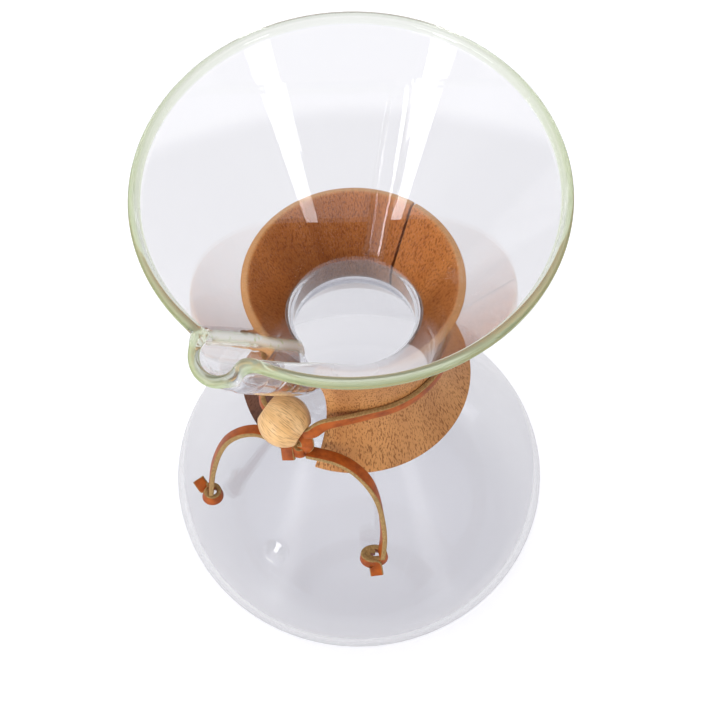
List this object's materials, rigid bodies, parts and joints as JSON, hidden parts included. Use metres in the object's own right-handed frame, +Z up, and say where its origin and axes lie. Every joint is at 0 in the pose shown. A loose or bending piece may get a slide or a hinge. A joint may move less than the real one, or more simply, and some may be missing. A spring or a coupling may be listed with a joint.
{
  "type": "pour-over coffee maker",
  "caption": "Hourglass glass pour-over coffee maker with a pouring channel, a split wooden collar and a leather lace that carries a wooden bead.",
  "frame": {"origin": "middle of the flat foot, on the surface that the coffee maker stands on", "axes": "+Z up along the vessel's axis; -Y towards the pouring lip; +X to the right as the vessel is seen from the lip's side"},
  "size_m": [0.136, 0.1471, 0.216],
  "materials": {
    "clear_glass": "clear, faintly green at the thick edges",
    "collar_wood": "oiled, fine dark flecks",
    "bead_wood": "waxed, fine grain",
    "lace_leather": "smooth face, raw tan edges"
  },
  "bodies": {
    "root": {"glass_carafe": "clear_glass", "collar_half_left": "collar_wood", "collar_half_right": "collar_wood", "tie_waist_band": "lace_leather", "tie_knot": "lace_leather", "tie_end_left": "lace_leather", "tie_end_right": "lace_leather", "tie_end_knot_left": "lace_leather", "tie_end_knot_right": "lace_leather"},
    "bead": {"bead": "bead_wood"}
  },
  "joints": [
    {"name": "bead_spin", "type": "hinge", "parent": "root", "child": "bead", "pos_m": [-0.0025, -0.038, 0.1247], "axis": [0.9659, 0, -0.2588], "continuous": true}
  ]
}
